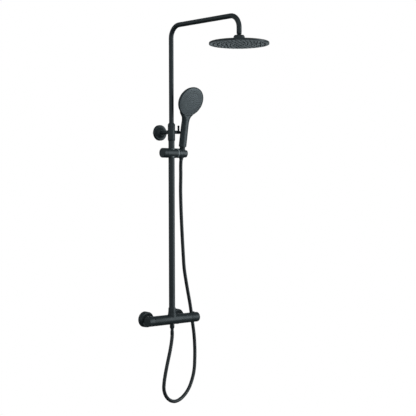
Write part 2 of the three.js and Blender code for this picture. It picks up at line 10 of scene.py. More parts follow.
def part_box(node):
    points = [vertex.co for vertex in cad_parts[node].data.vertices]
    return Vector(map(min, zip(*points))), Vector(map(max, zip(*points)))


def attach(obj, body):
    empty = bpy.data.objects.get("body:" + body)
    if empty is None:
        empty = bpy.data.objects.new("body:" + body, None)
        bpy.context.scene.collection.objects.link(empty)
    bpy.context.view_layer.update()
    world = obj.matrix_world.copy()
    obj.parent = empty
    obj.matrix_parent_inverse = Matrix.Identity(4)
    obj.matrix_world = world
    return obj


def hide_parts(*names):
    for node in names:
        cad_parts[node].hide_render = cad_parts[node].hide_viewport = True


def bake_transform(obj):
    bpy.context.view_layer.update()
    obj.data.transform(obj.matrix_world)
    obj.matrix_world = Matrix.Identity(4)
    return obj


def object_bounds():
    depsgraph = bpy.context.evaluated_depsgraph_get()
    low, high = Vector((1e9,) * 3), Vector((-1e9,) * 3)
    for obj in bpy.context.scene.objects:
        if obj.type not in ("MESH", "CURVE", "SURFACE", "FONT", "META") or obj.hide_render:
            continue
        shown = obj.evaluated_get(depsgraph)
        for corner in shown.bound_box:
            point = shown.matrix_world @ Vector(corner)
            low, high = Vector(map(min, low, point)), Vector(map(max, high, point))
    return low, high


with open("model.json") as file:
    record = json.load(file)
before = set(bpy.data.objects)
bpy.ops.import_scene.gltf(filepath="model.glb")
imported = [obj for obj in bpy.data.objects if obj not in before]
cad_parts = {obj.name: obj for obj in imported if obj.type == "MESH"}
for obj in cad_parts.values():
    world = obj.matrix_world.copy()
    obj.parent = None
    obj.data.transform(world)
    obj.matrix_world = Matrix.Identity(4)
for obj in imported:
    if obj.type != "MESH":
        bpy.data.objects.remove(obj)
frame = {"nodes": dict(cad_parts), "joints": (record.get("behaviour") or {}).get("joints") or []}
cadLow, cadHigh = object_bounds()
print("frame loaded")

# Shapes are drawn in millimetres, in the frame of the group that they belong to, and put in place in metres
millimetres = Matrix.Scale(0.001, 4)
alongX = Vector((1, 0, 0))
alongY = Vector((0, 1, 0))
alongZ = Vector((0, 0, 1))


def boxOf(node):
    low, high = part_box(node)
    return low * 1000, high * 1000


def middleOf(node, axis):  # of its box, along one axis
    low, high = boxOf(node)
    return (low[axis] + high[axis]) / 2


def halfOf(node, axis):  # half its box's size
    low, high = boxOf(node)
    return (high[axis] - low[axis]) / 2


def jointOf(name):
    return next(joint for joint in frame["joints"] if joint["name"] == name)


def newObject(name, data):
    made = bpy.data.objects.new(name, data)
    bpy.context.scene.collection.objects.link(made)
    return made


def placeAt(x, y, z, lean=0.0):  # lean turns the group about X, in degrees
    return millimetres @ Matrix.Translation((x, y, z)) @ Matrix.Rotation(math.radians(lean), 4, "X")


tubeLow, tubeHigh = boxOf("riser_lower_tube")
axisX, axisY = middleOf("riser_lower_tube", 0), middleOf("riser_lower_tube", 1)
tubeRadius = halfOf("riser_lower_tube", 0)
valvePlace = placeAt(axisX, axisY, 0)


# Camera

cameraSettings = {"place": (-2.4245, -3.016, 0.4769), "turn": 41.58, "tilt": -0.79, "roll": -0.17,
                  "lens": 86.54, "sensor": 36}


def makeCamera(settings):
    data = bpy.data.cameras.new("camera")
    data.lens = settings["lens"]
    data.sensor_width = settings["sensor"]
    camera = newObject("camera", data)
    turn = Matrix.Rotation(math.radians(-settings["turn"]), 4, "Z")
    tilt = Matrix.Rotation(math.radians(90 + settings["tilt"]), 4, "X")
    roll = Matrix.Rotation(math.radians(settings["roll"]), 4, "Z")
    camera.matrix_world = Matrix.Translation(settings["place"]) @ turn @ tilt @ roll
    bpy.context.scene.camera = camera


makeCamera(cameraSettings)


# The hose's line, which the CAD follows too. Its two short stretches end at the heights given, in metres

hoseSettings = {"diameter": 0.0136, "liftEnds": 0.548, "tiltEnds": 0.488, "step": 0.004, "resolution": 6}
hoseRoute = [  # from the hand shower down to the valve
    (0.0467, -0.0747, 0.604), (0.0481, -0.0717, 0.584), (0.0496, -0.0702, 0.56), (0.0509, -0.0682, 0.53),
    (0.052, -0.066, 0.495), (0.0553, -0.0636, 0.432), (0.0602, -0.0612, 0.37), (0.066, -0.0587, 0.308),
    (0.0721, -0.0564, 0.246), (0.0787, -0.054, 0.191), (0.089, -0.052, 0.1435), (0.1012, -0.0496, 0.096),
    (0.113, -0.0473, 0.052), (0.1218, -0.0456, 0.012), (0.1286, -0.0452, -0.028), (0.1352, -0.0456, -0.072),
    (0.1382, -0.0464, -0.119), (0.1373, -0.0475, -0.166), (0.1317, -0.0495, -0.2125),
    (0.1186, -0.052, -0.2485), (0.1002, -0.055, -0.278), (0.0772, -0.0585, -0.299),
    (0.0495, -0.0625, -0.3134), (0.021, -0.0665, -0.3178), (-0.0057, -0.07, -0.3104),
    (-0.0282, -0.073, -0.292), (-0.041, -0.075, -0.265), (-0.0414, -0.0764, -0.238),
    (-0.0344, -0.077, -0.2005), (-0.0242, -0.077, -0.1617), (-0.0132, -0.0763, -0.125),
    (-0.0054, -0.0755, -0.095), (-0.0014, -0.0751, -0.074), (0, -0.075, -0.062), (0, -0.075, -0.0552),
]


def alongOf(line):  # how far along the line each of its points is
    return np.concatenate([[0], np.cumsum(np.linalg.norm(np.diff(line, axis=0), axis=1))])


def partWay(a, b, t, low, high):  # from a, where t is low, to b, where it is high
    return a + (b - a) * (t - low) / (high - low)


def smoothLine(points, spacing, perSpan=16):  # a centripetal Catmull-Rom line, evenly spaced
    p = np.array(points, float)
    p = np.vstack([2 * p[0] - p[1], p, 2 * p[-1] - p[-2]])
    line = [p[1]]
    for i in range(1, len(p) - 2):
        gaps = np.diff(p[i - 1:i + 3], axis=0)
        t = np.concatenate([[0], np.cumsum([math.sqrt(np.linalg.norm(gap)) for gap in gaps])])
        for u in np.linspace(t[1], t[2], perSpan + 1)[1:]:
            ab, bc, cd = (partWay(p[i + k - 1], p[i + k], u, t[k], t[k + 1]) for k in range(3))
            abc, bcd = partWay(ab, bc, u, t[0], t[2]), partWay(bc, cd, u, t[1], t[3])
            line.append(partWay(abc, bcd, u, t[1], t[2]))
    line = np.array(line)
    along = alongOf(line)
    at = np.linspace(0, along[-1], round(along[-1] / spacing) + 1)
    return np.stack([np.interp(at, along, line[:, k]) for k in range(3)], axis=1)


# Shader nodes


class Wire:  # a socket in a material, so that maths on it is written as maths
    def __init__(self, tree, socket=None):
        self.tree = tree
        self.socket = socket

    def node(self, kind, settings=None, inputs=None, output=0):
        made = self.tree.nodes.new("ShaderNode" + kind)
        for key, value in (settings or {}).items():
            if key == "stops":
                for extra in range(len(value) - 2):
                    made.color_ramp.elements.new(0.5)
                for element, (position, level) in zip(made.color_ramp.elements, value):
                    element.position = position
                    element.color = (level, level, level, 1)
            else:
                setattr(made, key, value)
        for key, value in (inputs or {}).items():
            if isinstance(value, Wire):
                self.tree.links.new(value.socket, made.inputs[key])
            elif isinstance(value, tuple) and made.inputs[key].type == "RGBA":
                made.inputs[key].default_value = (*value, 1)
            else:
                made.inputs[key].default_value = value
        return Wire(self.tree, made.outputs[output] if len(made.outputs) else None)

    def maths(self, operation, *values):
        return self.node("Math", {"operation": operation}, dict(enumerate(values)))

    def __add__(self, other):
        return self.maths("ADD", self, other)

    def __sub__(self, other):
        return self.maths("SUBTRACT", self, other)

    def __rsub__(self, other):
        return self.maths("SUBTRACT", other, self)

    def __mul__(self, other):
        return self.maths("MULTIPLY", self, other)

    __radd__ = __add__
    __rmul__ = __mul__


def newMaterial(name):  # and the place on the surface that its patterns follow
    material = bpy.data.materials.new(name)
    material.use_nodes = True
    material.node_tree.nodes.clear()
    wire = Wire(material.node_tree)
    return material, wire, wire.node("TexCoord", output="Object")


def noiseOf(wire, place, scale, detail=2, roughness=0.5):
    return wire.node("TexNoise", {}, {"Vector": place, "Scale": scale, "Detail": detail,
                                      "Roughness": roughness})


def between(wire, amount, low, high):  # 0 below low and 1 above high
    return wire.node("MapRange", {"clamp": True}, {"Value": amount, "From Min": low, "From Max": high})


def mixedColour(wire, amount, first, second):
    return wire.node("Mix", {"data_type": "RGBA"}, {0: amount, 6: first, 7: second}, output=2)


# Where each mask starts and where it is full
maskRanges = {"cloud": (0.3, 0.7), "handled": (0.5, 0.72), "speck": (0.03, 0.09), "edge": (0.53, 0.62),
              "tarnish": (0.5, 0.75), "crest": (-0.2, 0.9)}


def masked(wire, amount, name):
    return between(wire, amount, *maskRanges[name])


def cloudedTone(wire, place, scale, settings):  # two tones in soft patches
    cloud = noiseOf(wire, place, scale, 4, 0.6)
    return cloud, mixedColour(wire, masked(wire, cloud, "cloud"), settings["dark"], settings["light"])


def shadeWith(wire, tone, roughness, height, **fixed):  # the height of its bumps is in millimetres
    normal = wire.node("Bump", {}, {"Height": height, "Strength": 1.0, "Distance": 0.001})
    shader = wire.node("BsdfPrincipled", {}, {"Base Color": tone, "Roughness": roughness, "Normal": normal,
                                              **fixed})
    wire.node("OutputMaterial", {}, {"Surface": shader})


plainCoat = {"specular": 0.5, "smudge": 0.08, "grainTone": 0.45, "peel": 0.012, "grain": 0.01, "dust": 0.1,
             "edgeWear": 0.1}


def coatedFinish(name, settings):  # settings says where it differs from the plain coat
    s = {**plainCoat, **settings}
    material, wire, place = newMaterial(name)
    cloud, tone = cloudedTone(wire, place, s["cloudScale"], s)
    handled = masked(wire, noiseOf(wire, place, s["smudgeScale"], 5, 0.65), "handled")
    grain = noiseOf(wire, place, s["grainScale"])
    peel = noiseOf(wire, place, s["peelScale"], 1)
    speck = wire.node("TexVoronoi", {}, {"Vector": place, "Scale": s["speckScale"]})
    dust = 1 - masked(wire, speck, "speck")
    edge = masked(wire, wire.node("NewGeometry", output="Pointiness"), "edge")
    tone = mixedColour(wire, grain * s["grainTone"], tone, s["light"])
    tone = mixedColour(wire, edge * s["edgeWear"] + dust * s["dust"], tone, s["worn"])
    roughness = s["roughness"] + (cloud - 0.5) * 0.12 + handled * s["smudge"] + grain * 0.04
    height = peel * s["peel"] + grain * s["grain"]
    shadeWith(wire, tone, roughness, height, **{"Specular IOR Level": s["specular"]})
    return material


satinBlack = coatedFinish("satinBlack", {
    "dark": (0.0162, 0.0218, 0.0238), "light": (0.0232, 0.0307, 0.0332), "worn": (0.057, 0.064, 0.067),
    "roughness": 0.4, "cloudScale": 22, "smudgeScale": 34, "smudge": 0.07, "grainScale": 1600,
    "grainTone": 0.35, "peelScale": 420, "peel": 0.02, "grain": 0.008, "speckScale": 260, "dust": 0.05,
    "edgeWear": 0.25,
})
handsetBlack = coatedFinish("handsetBlack", {
    "dark": (0.027, 0.0352, 0.0385), "light": (0.037, 0.0475, 0.0515), "worn": (0.05, 0.054, 0.056),
    "roughness": 0.3, "cloudScale": 26, "smudgeScale": 40, "smudge": 0.09, "grainScale": 1900,
    "grainTone": 0.3, "peelScale": 500, "peel": 0.014, "grain": 0.006, "speckScale": 300, "dust": 0.05,
    "edgeWear": 0.15,
})
mouldedBlack = coatedFinish("mouldedBlack", {
    "dark": (0.013, 0.0145, 0.015), "light": (0.02, 0.022, 0.0225), "worn": (0.045, 0.047, 0.048),
    "roughness": 0.46, "specular": 0.45, "cloudScale": 40, "smudgeScale": 60, "smudge": 0.05,
    "grainScale": 2600, "grainTone": 0.4, "peelScale": 1100, "peel": 0.01, "grain": 0.012,
    "speckScale": 400, "dust": 0.08, "edgeWear": 0.15,
})
sprayGrey = coatedFinish("sprayGrey", {
    "dark": (0.175, 0.189, 0.198), "light": (0.225, 0.242, 0.253), "worn": (0.3, 0.31, 0.316),
    "roughness": 0.42, "cloudScale": 30, "smudgeScale": 48, "grainScale": 2200, "peelScale": 900,
    "speckScale": 320,
})
# The spray plate's grey is a grey plate made much paler than the hand shower's grey plate: the extra
# paleness is painted light, standing in for light that reaches the plate's underside from below
rainGreyPaintedLight = coatedFinish("rainGreyPaintedLight", {
    "dark": (0.3, 0.324, 0.344), "light": (0.38, 0.41, 0.434), "worn": (0.45, 0.46, 0.466),
    "roughness": 0.44, "cloudScale": 26, "smudgeScale": 44, "grainScale": 2000, "peelScale": 800,
    "speckScale": 300, "dust": 0.08,
})
palePlastic = coatedFinish("palePlastic", {
    "dark": (0.2, 0.208, 0.212), "light": (0.25, 0.26, 0.264), "worn": (0.36, 0.37, 0.37),
    "roughness": 0.4, "cloudScale": 60, "smudgeScale": 80, "grainScale": 2400, "grainTone": 0.3,
    "peelScale": 900, "peel": 0.008, "grain": 0.008, "speckScale": 420,
})
softRubber = coatedFinish("softRubber", {
    "dark": (0.01, 0.0105, 0.011), "light": (0.017, 0.0175, 0.018), "worn": (0.04, 0.041, 0.042),
    "roughness": 0.66, "specular": 0.35, "cloudScale": 50, "smudgeScale": 70, "smudge": 0.06,
    "grainScale": 3000, "grainTone": 0.5, "peelScale": 1300, "grain": 0.02, "speckScale": 380,
    "dust": 0.16,
})


def machinedFinish(name, settings):  # bare turned metal, with fine tool marks
    material, wire, place = newMaterial(name)
    tone = cloudedTone(wire, place, 45, settings)[1]
    fine = noiseOf(wire, place, 2400)
    marks = wire.node("TexWave", {"bands_direction": settings["across"]},
                      {"Vector": place, "Scale": 900.0, "Distortion": 1.5, "Detail": 2.0})
    tarnish = masked(wire, noiseOf(wire, place, 110, 5, 0.7), "tarnish")
    tone = mixedColour(wire, tarnish * 0.35, tone, settings["tarnish"])
    roughness = settings["roughness"] + tarnish * 0.14 + fine * 0.08
    shadeWith(wire, tone, roughness, marks * 0.006 + fine * 0.004, Metallic=1.0)
    return material


turnedBrass = machinedFinish("turnedBrass", {
    "dark": (0.5, 0.35, 0.13), "light": (0.64, 0.47, 0.2), "tarnish": (0.3, 0.2, 0.09), "roughness": 0.28,
    "across": "X"})
brightSteel = machinedFinish("brightSteel", {
    "dark": (0.42, 0.43, 0.44), "light": (0.56, 0.57, 0.58), "tarnish": (0.3, 0.3, 0.3), "roughness": 0.26,
    "across": "Z"})


def hoseFinish(settings):  # a smooth black skin over a fine wound core
    material, wire, place = newMaterial("hoseSkin")
    along, aroundSine, aroundCosine = (
        wire.node("Attribute", {"attribute_name": attribute}, output="Fac")
        for attribute in ("along", "aroundSine", "aroundCosine"))
    wound = along * (math.tau / settings["pitch"])
    winding = wound.maths("SINE", wound) * aroundCosine - wound.maths("COSINE", wound) * aroundSine
    cloud, tone = cloudedTone(wire, place, 30, settings)
    fine = noiseOf(wire, place, 2200)
    crest = masked(wire, winding, "crest")
    tone = mixedColour(wire, crest * 0.35, tone, settings["crest"])
    roughness = settings["roughness"] + (cloud - 0.5) * 0.12 + fine * 0.05 - crest * 0.04
    shadeWith(wire, tone, roughness, winding * 0.045 + fine * 0.006)
    return material


hoseSkin = hoseFinish({
    "dark": (0.017, 0.019, 0.02), "light": (0.024, 0.0265, 0.0275), "crest": (0.034, 0.037, 0.038),
    "roughness": 0.36, "pitch": 0.0032})
finishOfSlot = {
    "black_metal": satinBlack, "black_coated_plastic": handsetBlack, "black_plastic": mouldedBlack,
    "grey_plate": sprayGrey, "pale_plastic": palePlastic, "hose_skin": hoseSkin, "rubber": softRubber,
    "brass": turnedBrass, "steel": brightSteel,
}
print("materials made")


# Modelling helpers

solidSteps = 64
broad = 96  # steps round a broad piece
spare = 1  # how far a cutter reaches past the face that it opens


def meshAsIs(bm):
    mesh = bpy.data.meshes.new("part")
    bm.to_mesh(mesh)
    bm.free()
    return mesh


def meshFrom(bm):  # with its doubles merged and its faces turned outwards
    bmesh.ops.remove_doubles(bm, verts=bm.verts[:], dist=1e-4)
    bmesh.ops.recalc_face_normals(bm, faces=bm.faces[:])
    return meshAsIs(bm)


def turned(outline, axis=alongZ, at=(0, 0, 0), steps=solidSteps):  # spins an outline of (radius, height)
    bm = bmesh.new()
    across = alongX if abs(axis.x) < 0.5 else alongZ
    verts = [bm.verts.new(Vector(at) + across * r + axis * h) for r, h in outline]
    edges = [bm.edges.new(pair) for pair in zip(verts, verts[1:])]
    bmesh.ops.spin(bm, geom=verts + edges, cent=at, axis=axis, dvec=(0, 0, 0), angle=math.tau,
                   steps=steps, use_merge=True, use_duplicate=False)
    return meshFrom(bm)


def rod(radius, low, high, axis=alongZ, at=(0, 0, 0), steps=solidSteps):
    return turned([(0, low), (radius, low), (radius, high), (0, high)], axis, at, steps)


def ringOf(inner, outer, low, high, axis=alongZ, at=(0, 0, 0), steps=solidSteps):
    outline = [(inner, low), (outer, low), (outer, high), (inner, high), (inner, low)]
    return turned(outline, axis, at, steps)


def bevelled(inner, outer, low, high, edge, axis=alongZ, steps=solidSteps):  # solid when inner is 0
    outline = [(inner, low), (outer - edge, low), (outer, low + edge), (outer, high - edge),
               (outer - edge, high), (inner, high)]
    return turned(outline + outline[:1] if inner else outline, axis, steps=steps)


def ballOf(radius, at, segments, rings):
    bm = bmesh.new()
    bmesh.ops.create_uvsphere(bm, u_segments=segments, v_segments=rings, radius=radius,
                              matrix=Matrix.Translation(at))
    return meshFrom(bm)


def arcOf(r, h, radius, start, end, steps=8):  # outline points round a centre, 0 degrees outwards
    angles = [math.radians(start + (end - start) * i / steps) for i in range(steps + 1)]
    return [(r + radius * math.cos(a), h + radius * math.sin(a)) for a in angles]


def blockOf(low, high):
    low, high = Vector(low), Vector(high)
    bm = bmesh.new()
    place = Matrix.Translation((low + high) / 2) @ Matrix.Diagonal((*(high - low), 1))
    bmesh.ops.create_cube(bm, size=1, matrix=place)
    return meshFrom(bm)


def joined(meshes):  # several shells in one mesh
    bm = bmesh.new()
    for mesh in meshes:
        bm.from_mesh(mesh)
        bpy.data.meshes.remove(mesh)
    return meshAsIs(bm)


def meshOfObject(holder):  # the mesh that an object comes to, and the object goes
    made = bpy.data.meshes.new_from_object(holder.evaluated_get(bpy.context.evaluated_depsgraph_get()))
    bpy.data.objects.remove(holder)
    return made


def applied(mesh, *modifiers):  # a mesh with modifiers of (kind, settings) applied
    holder = newObject("holder", mesh)
    for kind, settings in modifiers:
        modifier = holder.modifiers.new(kind, kind)
        for key, value in settings.items():
            setattr(modifier, key, value)
    return meshOfObject(holder)


def combined(base, tools, operation="DIFFERENCE"):
    cutters = [newObject("cutter", tool) for tool in tools]
    steps = [("BOOLEAN", {"object": c, "operation": operation, "solver": "EXACT"}) for c in cutters]
    made = applied(base, *steps)
    for cutter in cutters:
        bpy.data.objects.remove(cutter)
    return made


def moved(mesh, matrix):
    mesh.transform(matrix)
    return mesh


def addPiece(name, mesh, place, body, *nodes, slot="black_metal", finish=None, smooth=38):
    mesh.transform(place)
    mesh.name = name
    piece = newObject(name, mesh)
    mesh.materials.clear()
    mesh.materials.append(finish or finishOfSlot[slot])
    mesh.shade_smooth()
    mesh.set_sharp_from_angle(angle=math.radians(smooth))
    if body:
        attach(piece, body)
    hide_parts(*nodes)
    return piece


# Hose

def tubeAlong(points, radius, resolution):  # open at both ends, one ring of points at each step
    curve = bpy.data.curves.new("line", "CURVE")
    curve.dimensions = "3D"
    spline = curve.splines.new("POLY")
    spline.points.add(len(points) - 1)
    spline.points.foreach_set("co", np.hstack([points, np.ones((len(points), 1))]).ravel())
    curve.bevel_depth = radius
    curve.bevel_resolution = resolution
    return meshOfObject(newObject("line", curve))


def hoseStretch(name, line, start, *nodes):  # start is how far along the whole hose it begins
    mesh = tubeAlong(line, hoseSettings["diameter"] / 2, hoseSettings["resolution"])
    sides = len(mesh.vertices) // len(line)
    far = start + alongOf(line)
    rings = np.arange(len(mesh.vertices)) // sides
    angles = np.arange(len(mesh.vertices)) % sides * (math.tau / sides)
    for attribute, values in (("along", far[rings]), ("aroundSine", np.sin(angles)),
                              ("aroundCosine", np.cos(angles))):
        made = mesh.attributes.new(attribute, "FLOAT", "POINT")
        made.data.foreach_set("value", values.astype(np.float32))
    bm = bmesh.new()
    bm.from_mesh(mesh)
    bmesh.ops.holes_fill(bm, edges=[edge for edge in bm.edges if edge.is_boundary])
    bm.to_mesh(mesh)
    bm.free()
    return addPiece(name, mesh, Matrix.Identity(4), None, *nodes, slot="hose_skin")


def makeHose():
    line = smoothLine(hoseRoute, hoseSettings["step"])
    firstCut = int(np.argmax(line[:, 2] < hoseSettings["liftEnds"]))
    secondCut = int(np.argmax(line[:, 2] < hoseSettings["tiltEnds"]))
    lengths = [float(alongOf(line[a:b + 1])[-1])
               for a, b in ((0, firstCut), (firstCut, secondCut), (secondCut, len(line)))]
    top = hoseStretch("hoseTop", line[:firstCut + 1], 0, "hose_top")
    bend = hoseStretch("hoseBend", line[firstCut:secondCut + 1], lengths[0], "hose_bend")
    run = hoseStretch("hoseRun", line[secondCut:], lengths[0] + lengths[1], "hose_run")
    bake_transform(top)
    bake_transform(bend)
    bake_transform(run)
    print("hose", round(sum(lengths), 3), "m long")
    return line[secondCut:], lengths, [run, top, bend]


runLine, hoseLengths, hosePieces = makeHose()


# Valve

valveSettings = {
    "radius": 18.8, "edge": 0.9, "bore": 13, "boreDepth": 34, "duct": 6, "spigot": 6.2, "outlet": 4.6,
    "boss": [(0, 0), (17.6, 0), (17.4, 14), (15, 26), (10, 26), (10, 34), (0, 34)], "bossBore": 8,
    "inlets": [-75, 75], "inletRadius": 11, "inletEnd": 25, "inletBore": 7, "inletBoreStart": 4,
}
handleSettings = {  # which way each points, and how round its end is
    "temperature": {"outwards": -alongX, "roundness": 1.6},
    "flow": {"outwards": alongX, "roundness": 4.5},
}
capSettings = {"edge": 0.5, "wall": 3, "roof": 4, "hub": 7, "socket": 4.3, "socketLow": 3.3,
               "socketHigh": 20, "buttonGap": 0.3, "screwHole": 2}
buttonSettings = {"radius": 3.9, "collar": 5.2, "collarLow": 12.4, "collarHigh": 14.2, "dome": 0.8}


def makeValveBody():
    s = valveSettings
    low, high = boxOf("valve_body")
    left, right, r, edge = low.x, high.x, s["radius"], s["edge"]
    bar = turned([(0, left), (r - edge, left), *arcOf(r - edge, left + edge, edge, -90, 0, 4),
                  *arcOf(r - edge, right - edge, edge, 0, 90, 4), (r - edge, right), (0, right)],
                 alongX, steps=broad)
    adds = [turned(s["boss"], steps=broad), rod(s["spigot"], low.z, 0)]
    adds += [rod(s["inletRadius"], 0, s["inletEnd"], alongY, (x, 0, 0)) for x in s["inlets"]]
    body = combined(bar, adds, "UNION")
    bore, depth, bossTop = s["bore"], s["boreDepth"], s["boss"][-1][1]
    cuts = [rod(bore, left - spare, left + depth, alongX), rod(bore, right - depth, right + spare, alongX),
            rod(s["duct"], left + depth - spare, right - depth + spare, alongX),
            rod(s["bossBore"], 0, bossTop + spare), rod(s["outlet"], low.z - spare, 0)]
    cuts += [rod(s["inletBore"], s["inletBoreStart"], s["inletEnd"] + spare, alongY, (x, 0, 0))
             for x in s["inlets"]]
    body = combined(body, cuts)
    addPiece("valveBody", body, valvePlace, "column", "valve_body")


def makeHandle(name, outwards, roundness):
    low, high = boxOf(name + "_handle")
    near, far = (low.x, high.x) if outwards.x > 0 else (high.x, low.x)
    length = abs(far - near)
    s = capSettings
    r, edge, hub, socket = valveSettings["radius"], s["edge"], s["hub"], s["socket"]
    inner, roof = r - s["wall"], length - s["roof"]
    outline = [(0, s["socketHigh"]), (socket, s["socketHigh"]), (socket, s["socketLow"]),
               (hub, s["socketLow"]), (hub, roof), (inner, roof), (inner, 0), (r - edge, 0),
               *arcOf(r - edge, edge, edge, -90, 0, 4),
               *arcOf(r - roundness, length - roundness, roundness, 0, 90, 10), (0, length)]
    cap = turned(outline, outwards, (near, 0, 0), broad)
    buttonX, screwX = middleOf(name + "_stop_button", 0), middleOf(name + "_grub_screw", 0)
    buttonHole = buttonSettings["radius"] + s["buttonGap"]
    cap = combined(cap, [rod(buttonHole, 12, 25, at=(buttonX, 0, 0), steps=32),
                         rod(s["screwHole"], -25, -3, at=(screwX, 0, 0), steps=24)])
    addPiece(name + "Handle", cap, valvePlace, name + "_handle", name + "_handle")
    makeButton(name, buttonX, boxOf(name + "_stop_button")[1].z)
    makeSpring(name, buttonX)


def makeButton(name, x, top):
    s = buttonSettings
    r, dome = s["radius"], s["dome"]
    outline = [(0, s["collarLow"]), (s["collar"], s["collarLow"]), (s["collar"], s["collarHigh"]),
               (r, s["collarHigh"]), (r, top - dome), *arcOf(r - dome, top - dome, dome, 0, 80, 5), (0, top)]
    button = turned(outline, at=(x, 0, 0), steps=40)
    addPiece(name + "StopButton", button, valvePlace, name + "_button", name + "_stop_button",
             slot="black_plastic")


springSettings = {"radius": 2.6, "wire": 0.35, "low": 7.4, "high": 12, "turns": 3, "steps": 36, "sides": 10}


def makeSpring(name, x):  # its foot on the handle and its head under the button
    s = springSettings
    wire, radius, turns, steps = s["wire"], s["radius"], s["turns"], s["steps"]
    bm = bmesh.new()
    at = Matrix.Translation((radius, 0, s["low"] + wire)) @ Matrix.Rotation(math.pi / 2, 4, "X")
    bmesh.ops.create_circle(bm, cap_ends=True, segments=s["sides"], radius=wire, matrix=at)
    rise = Vector((0, 0, (s["high"] - s["low"] - 2 * wire) / (turns * steps)))
    bmesh.ops.spin(bm, geom=[*bm.verts, *bm.edges, *bm.faces], cent=(0, 0, 0), axis=(0, 0, 1), dvec=rise,
                   angle=math.tau * turns, steps=turns * steps, use_merge=False)
    bmesh.ops.holes_fill(bm, edges=bm.edges)
    coil = moved(meshFrom(bm), Matrix.Translation((x, 0, 0)))
    spring = addPiece(name + "ButtonSpring", coil, valvePlace, None, name + "_button_spring", slot="steel")
    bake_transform(spring)


makeValveBody()
for handleName, handle in handleSettings.items():
    makeHandle(handleName, **handle)
print("valve made")


# Inlets, in a frame on the wall at each inlet's axis

inletSettings = {
    "hex": 16.2, "nutLow": -55.6, "nutHigh": -39.6, "nutBore": 11.3, "nutWall": 4.5, "nutHole": 8.4,
    "chamfer": 1.4, "chamferStart": 0.877,  # the second is a share of the hexagon's radius
    "union": [(6.5, -47.3), (10.8, -47.3), (10.8, -44.6), (8, -44.6), (8, -36), (13, -34), (13, -1.2),
              (10.3, -1.2), (10.3, 11), (9.3, 12), (6.5, 12), (6.5, -47.3)],
    "flange": 30, "flangeDepth": 22, "hole": 13.4,
}


def makeInlet(side, x):
    s = inletSettings
    place = placeAt(x, 0, 0)
    hexagon, edge, low, high = s["hex"], s["chamfer"], s["nutLow"], s["nutHigh"]
    bm = bmesh.new()
    turn = Matrix.Translation((0, (low + high) / 2, 0)) @ Matrix.Rotation(math.pi / 2, 4, "X")
    bmesh.ops.create_cone(bm, cap_ends=True, segments=6, radius1=hexagon, radius2=hexagon, depth=high - low,
                          matrix=turn)
    start, corner = hexagon * s["chamferStart"], hexagon + 0.2
    chamfer = turned([(0, low), (start, low), (corner, low + edge), (corner, high - edge), (start, high),
                      (0, high)], alongY)
    nut = combined(meshFrom(bm), [chamfer], "INTERSECT")
    wallLow = high - s["nutWall"]
    nut = combined(nut, [rod(s["nutBore"], low - 2, wallLow, alongY),
                         rod(s["nutHole"], wallLow - 0.5, high + 2, alongY)])
    addPiece(side + "UnionNut", nut, place, "column", side + "_union_nut")
    addPiece(side + "WallUnion", turned(s["union"], alongY), place, "column", side + "_wall_union")
    r, depth, hole = s["flange"], s["flangeDepth"], s["hole"]
    shell = [(hole, 1.6 - depth), (18.6, 1.6 - depth), (19.4, 1.4 - depth), (21.1, 0.1 - depth),
             (21.9, -depth), *arcOf(r - 3.6, 3 - depth, 3, -90, 0, 8), (r, -2), (r, 0), (r - 3, 0),
             (r - 3.6, 4.4 - depth), (hole, 4.4 - depth), (hole, 1.6 - depth)]
    addPiece(side + "WallFlange", turned(shell, alongY, steps=broad), place, "column", side + "_wall_flange")


for inletSide, inletX in zip(("left", "right"), valveSettings["inlets"]):
    makeInlet(inletSide, inletX)
print("inlets made")


# Riser

armSettings = {"radius": 9.1, "wall": 1.5, "bend": 46, "droop": 1.0, "bendSteps": 20, "resolution": 14}
riserSettings = {
    "wall": 1.8, "steps": 72,
    "nut": [(10.4, 26.3), (14.3, 26.3), (14.8, 26.9), (14.5, 32), (13.9, 42.5), (13.6, 44.5), (13.0, 45.5),
            (12.2, 45.5), (12.2, 34.9), (10.4, 34.9), (10.4, 26.3)],
}
studPlug = 10  # how far the ball stud stands up inside the arm's end


def armLine(settings):  # up the riser, over the two bends and down to the head, in millimetres
    low, high = boxOf("riser_upper_tube")
    r, bend, droop = settings["radius"], settings["bend"], math.radians(settings["droop"])
    height, headY, steps = high.z - r, low.y + r, settings["bendSteps"]

    def bendRound(centre, start, sweep):
        angles = [start + sweep * i / steps for i in range(steps + 1)]
        return [centre + Vector((0, bend * math.cos(a), bend * math.sin(a))) for a in angles]

    points = bendRound(Vector((axisX, axisY - bend, height - bend)), 0, math.pi / 2 + droop)
    leave = points[-1]
    across = bend * (1 - math.sin(droop))  # what the second bend takes along the arm
    run = leave.y - headY - across
    arrive = leave - Vector((0, run, run * math.tan(droop)))
    centre = arrive + Vector((0, math.sin(droop) * bend, -math.cos(droop) * bend))
    centre.y = headY + bend
    points += bendRound(centre, math.pi / 2 + droop, math.pi / 2 - droop)
    foot, end = (axisX, axisY, low.z), (axisX, headY, boxOf("head_ball_stud")[1].z - studPlug)
    return np.array([foot, *[tuple(p) for p in points], end])


def makeRiser():
    wall = {"thickness": armSettings["wall"], "offset": -1, "use_even_offset": True}
    arm = tubeAlong(armLine(armSettings), armSettings["radius"], armSettings["resolution"])
    addPiece("armTube", applied(arm, ("SOLIDIFY", wall)), millimetres, "arm", "riser_upper_tube")
    place, steps = placeAt(axisX, axisY, 0), riserSettings["steps"]
    tube = ringOf(tubeRadius - riserSettings["wall"], tubeRadius, tubeLow.z, tubeHigh.z, steps=steps)
    addPiece("riserTube", tube, place, "column", "riser_lower_tube")
    nut = turned(riserSettings["nut"], steps=steps)
    addPiece("riserFootNut", nut, place, "column", "riser_foot_nut")


makeRiser()
print("riser made")


# Wall bracket, in a frame on the riser's axis at the bracket's height

